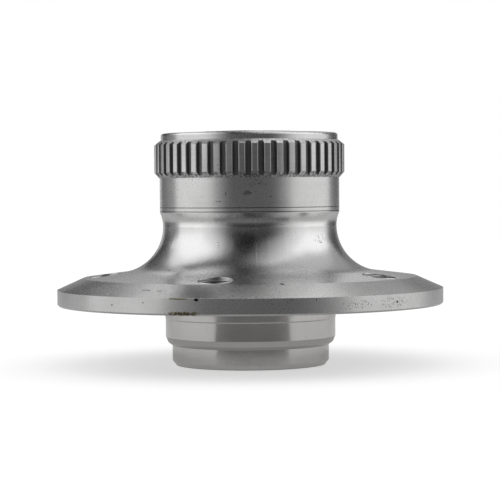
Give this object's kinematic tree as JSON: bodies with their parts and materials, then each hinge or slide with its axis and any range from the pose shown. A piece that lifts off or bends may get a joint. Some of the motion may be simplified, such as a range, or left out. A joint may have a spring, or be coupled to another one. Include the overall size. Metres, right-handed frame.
{
  "type": "wheel hub bearing",
  "caption": "Flanged wheel hub turning on a built-in double-row ball bearing, with a toothed speed-sensor ring, threaded wheel-bolt holes and a stepped centring spigot.",
  "frame": {"origin": "centre of the wheel bolt circle, on the wheel mounting face of the flange", "axes": "+Z along the wheel axis, inboard, from the wheel face towards the toothed ring; one wheel bolt hole is on -Y"},
  "size_m": [0.1436, 0.1436, 0.0866],
  "materials": {
    "turned_steel": "bare forged steel, turned all over, fine turning marks",
    "ring_steel": "bare steel, machined lands and darker, rougher gaps",
    "ground_steel": "hardened bearing steel, ground",
    "ball_steel": "hardened bearing steel, polished",
    "clip_steel": "blued spring steel strip",
    "seal_steel": "pressed stainless sheet, satin",
    "seal_rubber": "black nitrile rubber, matt",
    "cage_nylon": "natural glass-filled polyamide"
  },
  "bodies": {
    "inner_rings": {"inner_ring_inboard": "ground_steel", "inner_ring_outboard": "ground_steel", "inner_ring_clip": "clip_steel", "slinger_inboard": "seal_steel", "slinger_outboard": "seal_steel"},
    "hub": {"hub_flange": "turned_steel", "abs_tone_ring": "ring_steel", "seal_case_inboard": "seal_steel", "seal_case_outboard": "seal_steel", "seal_lip_inboard": "seal_rubber", "seal_lip_outboard": "seal_rubber"},
    "cage_inboard": {"cage_inboard": "cage_nylon"},
    "ball_inboard_01": {"ball_inboard_01": "ball_steel"},
    "ball_inboard_02": {"ball_inboard_02": "ball_steel"},
    "ball_inboard_03": {"ball_inboard_03": "ball_steel"},
    "ball_inboard_04": {"ball_inboard_04": "ball_steel"},
    "ball_inboard_05": {"ball_inboard_05": "ball_steel"},
    "ball_inboard_06": {"ball_inboard_06": "ball_steel"},
    "ball_inboard_07": {"ball_inboard_07": "ball_steel"},
    "ball_inboard_08": {"ball_inboard_08": "ball_steel"},
    "ball_inboard_09": {"ball_inboard_09": "ball_steel"},
    "ball_inboard_10": {"ball_inboard_10": "ball_steel"},
    "ball_inboard_11": {"ball_inboard_11": "ball_steel"},
    "cage_outboard": {"cage_outboard": "cage_nylon"},
    "ball_outboard_01": {"ball_outboard_01": "ball_steel"},
    "ball_outboard_02": {"ball_outboard_02": "ball_steel"},
    "ball_outboard_03": {"ball_outboard_03": "ball_steel"},
    "ball_outboard_04": {"ball_outboard_04": "ball_steel"},
    "ball_outboard_05": {"ball_outboard_05": "ball_steel"},
    "ball_outboard_06": {"ball_outboard_06": "ball_steel"},
    "ball_outboard_07": {"ball_outboard_07": "ball_steel"},
    "ball_outboard_08": {"ball_outboard_08": "ball_steel"},
    "ball_outboard_09": {"ball_outboard_09": "ball_steel"},
    "ball_outboard_10": {"ball_outboard_10": "ball_steel"},
    "ball_outboard_11": {"ball_outboard_11": "ball_steel"}
  },
  "joints": [
    {"name": "hub_spin", "type": "hinge", "parent": "inner_rings", "child": "hub", "pos_m": [0, 0, 0.0361], "axis": [0, 0, 1], "continuous": true},
    {"name": "cage_inboard_spin", "type": "hinge", "parent": "inner_rings", "child": "cage_inboard", "pos_m": [0, 0, 0.0506], "axis": [0, 0, 1], "continuous": true},
    {"name": "ball_inboard_01_roll", "type": "hinge", "parent": "cage_inboard", "child": "ball_inboard_01", "pos_m": [0.02096, 0, 0.0506], "axis": [0.5736, 0, 0.8192], "continuous": true},
    {"name": "ball_inboard_02_roll", "type": "hinge", "parent": "cage_inboard", "child": "ball_inboard_02", "pos_m": [0.01763, 0.01133, 0.0506], "axis": [0.4825, 0.3101, 0.8192], "continuous": true},
    {"name": "ball_inboard_03_roll", "type": "hinge", "parent": "cage_inboard", "child": "ball_inboard_03", "pos_m": [0.00871, 0.01907, 0.0506], "axis": [0.2383, 0.5217, 0.8192], "continuous": true},
    {"name": "ball_inboard_04_roll", "type": "hinge", "parent": "cage_inboard", "child": "ball_inboard_04", "pos_m": [-0.00298, 0.02075, 0.0506], "axis": [-0.0816, 0.5677, 0.8192], "continuous": true},
    {"name": "ball_inboard_05_roll", "type": "hinge", "parent": "cage_inboard", "child": "ball_inboard_05", "pos_m": [-0.01373, 0.01584, 0.0506], "axis": [-0.3756, 0.4335, 0.8192], "continuous": true},
    {"name": "ball_inboard_06_roll", "type": "hinge", "parent": "cage_inboard", "child": "ball_inboard_06", "pos_m": [-0.02011, 0.00591, 0.0506], "axis": [-0.5503, 0.1616, 0.8192], "continuous": true},
    {"name": "ball_inboard_07_roll", "type": "hinge", "parent": "cage_inboard", "child": "ball_inboard_07", "pos_m": [-0.02011, -0.00591, 0.0506], "axis": [-0.5503, -0.1616, 0.8192], "continuous": true},
    {"name": "ball_inboard_08_roll", "type": "hinge", "parent": "cage_inboard", "child": "ball_inboard_08", "pos_m": [-0.01373, -0.01584, 0.0506], "axis": [-0.3756, -0.4335, 0.8192], "continuous": true},
    {"name": "ball_inboard_09_roll", "type": "hinge", "parent": "cage_inboard", "child": "ball_inboard_09", "pos_m": [-0.00298, -0.02075, 0.0506], "axis": [-0.0816, -0.5677, 0.8192], "continuous": true},
    {"name": "ball_inboard_10_roll", "type": "hinge", "parent": "cage_inboard", "child": "ball_inboard_10", "pos_m": [0.00871, -0.01907, 0.0506], "axis": [0.2383, -0.5217, 0.8192], "continuous": true},
    {"name": "ball_inboard_11_roll", "type": "hinge", "parent": "cage_inboard", "child": "ball_inboard_11", "pos_m": [0.01763, -0.01133, 0.0506], "axis": [0.4825, -0.3101, 0.8192], "continuous": true},
    {"name": "cage_outboard_spin", "type": "hinge", "parent": "inner_rings", "child": "cage_outboard", "pos_m": [0, 0, 0.0216], "axis": [0, 0, 1], "continuous": true},
    {"name": "ball_outboard_01_roll", "type": "hinge", "parent": "cage_outboard", "child": "ball_outboard_01", "pos_m": [0.02011, 0.00591, 0.0216], "axis": [-0.5503, -0.1616, 0.8192], "continuous": true},
    {"name": "ball_outboard_02_roll", "type": "hinge", "parent": "cage_outboard", "child": "ball_outboard_02", "pos_m": [0.01373, 0.01584, 0.0216], "axis": [-0.3756, -0.4335, 0.8192], "continuous": true},
    {"name": "ball_outboard_03_roll", "type": "hinge", "parent": "cage_outboard", "child": "ball_outboard_03", "pos_m": [0.00298, 0.02075, 0.0216], "axis": [-0.0816, -0.5677, 0.8192], "continuous": true},
    {"name": "ball_outboard_04_roll", "type": "hinge", "parent": "cage_outboard", "child": "ball_outboard_04", "pos_m": [-0.00871, 0.01907, 0.0216], "axis": [0.2383, -0.5217, 0.8192], "continuous": true},
    {"name": "ball_outboard_05_roll", "type": "hinge", "parent": "cage_outboard", "child": "ball_outboard_05", "pos_m": [-0.01763, 0.01133, 0.0216], "axis": [0.4825, -0.3101, 0.8192], "continuous": true},
    {"name": "ball_outboard_06_roll", "type": "hinge", "parent": "cage_outboard", "child": "ball_outboard_06", "pos_m": [-0.02096, 0, 0.0216], "axis": [0.5736, 0, 0.8192], "continuous": true},
    {"name": "ball_outboard_07_roll", "type": "hinge", "parent": "cage_outboard", "child": "ball_outboard_07", "pos_m": [-0.01763, -0.01133, 0.0216], "axis": [0.4825, 0.3101, 0.8192], "continuous": true},
    {"name": "ball_outboard_08_roll", "type": "hinge", "parent": "cage_outboard", "child": "ball_outboard_08", "pos_m": [-0.00871, -0.01907, 0.0216], "axis": [0.2383, 0.5217, 0.8192], "continuous": true},
    {"name": "ball_outboard_09_roll", "type": "hinge", "parent": "cage_outboard", "child": "ball_outboard_09", "pos_m": [0.00298, -0.02075, 0.0216], "axis": [-0.0816, 0.5677, 0.8192], "continuous": true},
    {"name": "ball_outboard_10_roll", "type": "hinge", "parent": "cage_outboard", "child": "ball_outboard_10", "pos_m": [0.01373, -0.01584, 0.0216], "axis": [-0.3756, 0.4335, 0.8192], "continuous": true},
    {"name": "ball_outboard_11_roll", "type": "hinge", "parent": "cage_outboard", "child": "ball_outboard_11", "pos_m": [0.02011, -0.00591, 0.0216], "axis": [-0.5503, 0.1616, 0.8192], "continuous": true}
  ],
  "couplings": [
    {"joint": "cage_inboard_spin", "follows": "hub_spin", "ratio": 0.59305},
    {"joint": "ball_inboard_01_roll", "follows": "hub_spin", "ratio": 2.1246},
    {"joint": "ball_inboard_02_roll", "follows": "hub_spin", "ratio": 2.1246},
    {"joint": "ball_inboard_03_roll", "follows": "hub_spin", "ratio": 2.1246},
    {"joint": "ball_inboard_04_roll", "follows": "hub_spin", "ratio": 2.1246},
    {"joint": "ball_inboard_05_roll", "follows": "hub_spin", "ratio": 2.1246},
    {"joint": "ball_inboard_06_roll", "follows": "hub_spin", "ratio": 2.1246},
    {"joint": "ball_inboard_07_roll", "follows": "hub_spin", "ratio": 2.1246},
    {"joint": "ball_inboard_08_roll", "follows": "hub_spin", "ratio": 2.1246},
    {"joint": "ball_inboard_09_roll", "follows": "hub_spin", "ratio": 2.1246},
    {"joint": "ball_inboard_10_roll", "follows": "hub_spin", "ratio": 2.1246},
    {"joint": "ball_inboard_11_roll", "follows": "hub_spin", "ratio": 2.1246},
    {"joint": "cage_outboard_spin", "follows": "hub_spin", "ratio": 0.59305},
    {"joint": "ball_outboard_01_roll", "follows": "hub_spin", "ratio": 2.1246},
    {"joint": "ball_outboard_02_roll", "follows": "hub_spin", "ratio": 2.1246},
    {"joint": "ball_outboard_03_roll", "follows": "hub_spin", "ratio": 2.1246},
    {"joint": "ball_outboard_04_roll", "follows": "hub_spin", "ratio": 2.1246},
    {"joint": "ball_outboard_05_roll", "follows": "hub_spin", "ratio": 2.1246},
    {"joint": "ball_outboard_06_roll", "follows": "hub_spin", "ratio": 2.1246},
    {"joint": "ball_outboard_07_roll", "follows": "hub_spin", "ratio": 2.1246},
    {"joint": "ball_outboard_08_roll", "follows": "hub_spin", "ratio": 2.1246},
    {"joint": "ball_outboard_09_roll", "follows": "hub_spin", "ratio": 2.1246},
    {"joint": "ball_outboard_10_roll", "follows": "hub_spin", "ratio": 2.1246},
    {"joint": "ball_outboard_11_roll", "follows": "hub_spin", "ratio": 2.1246}
  ]
}
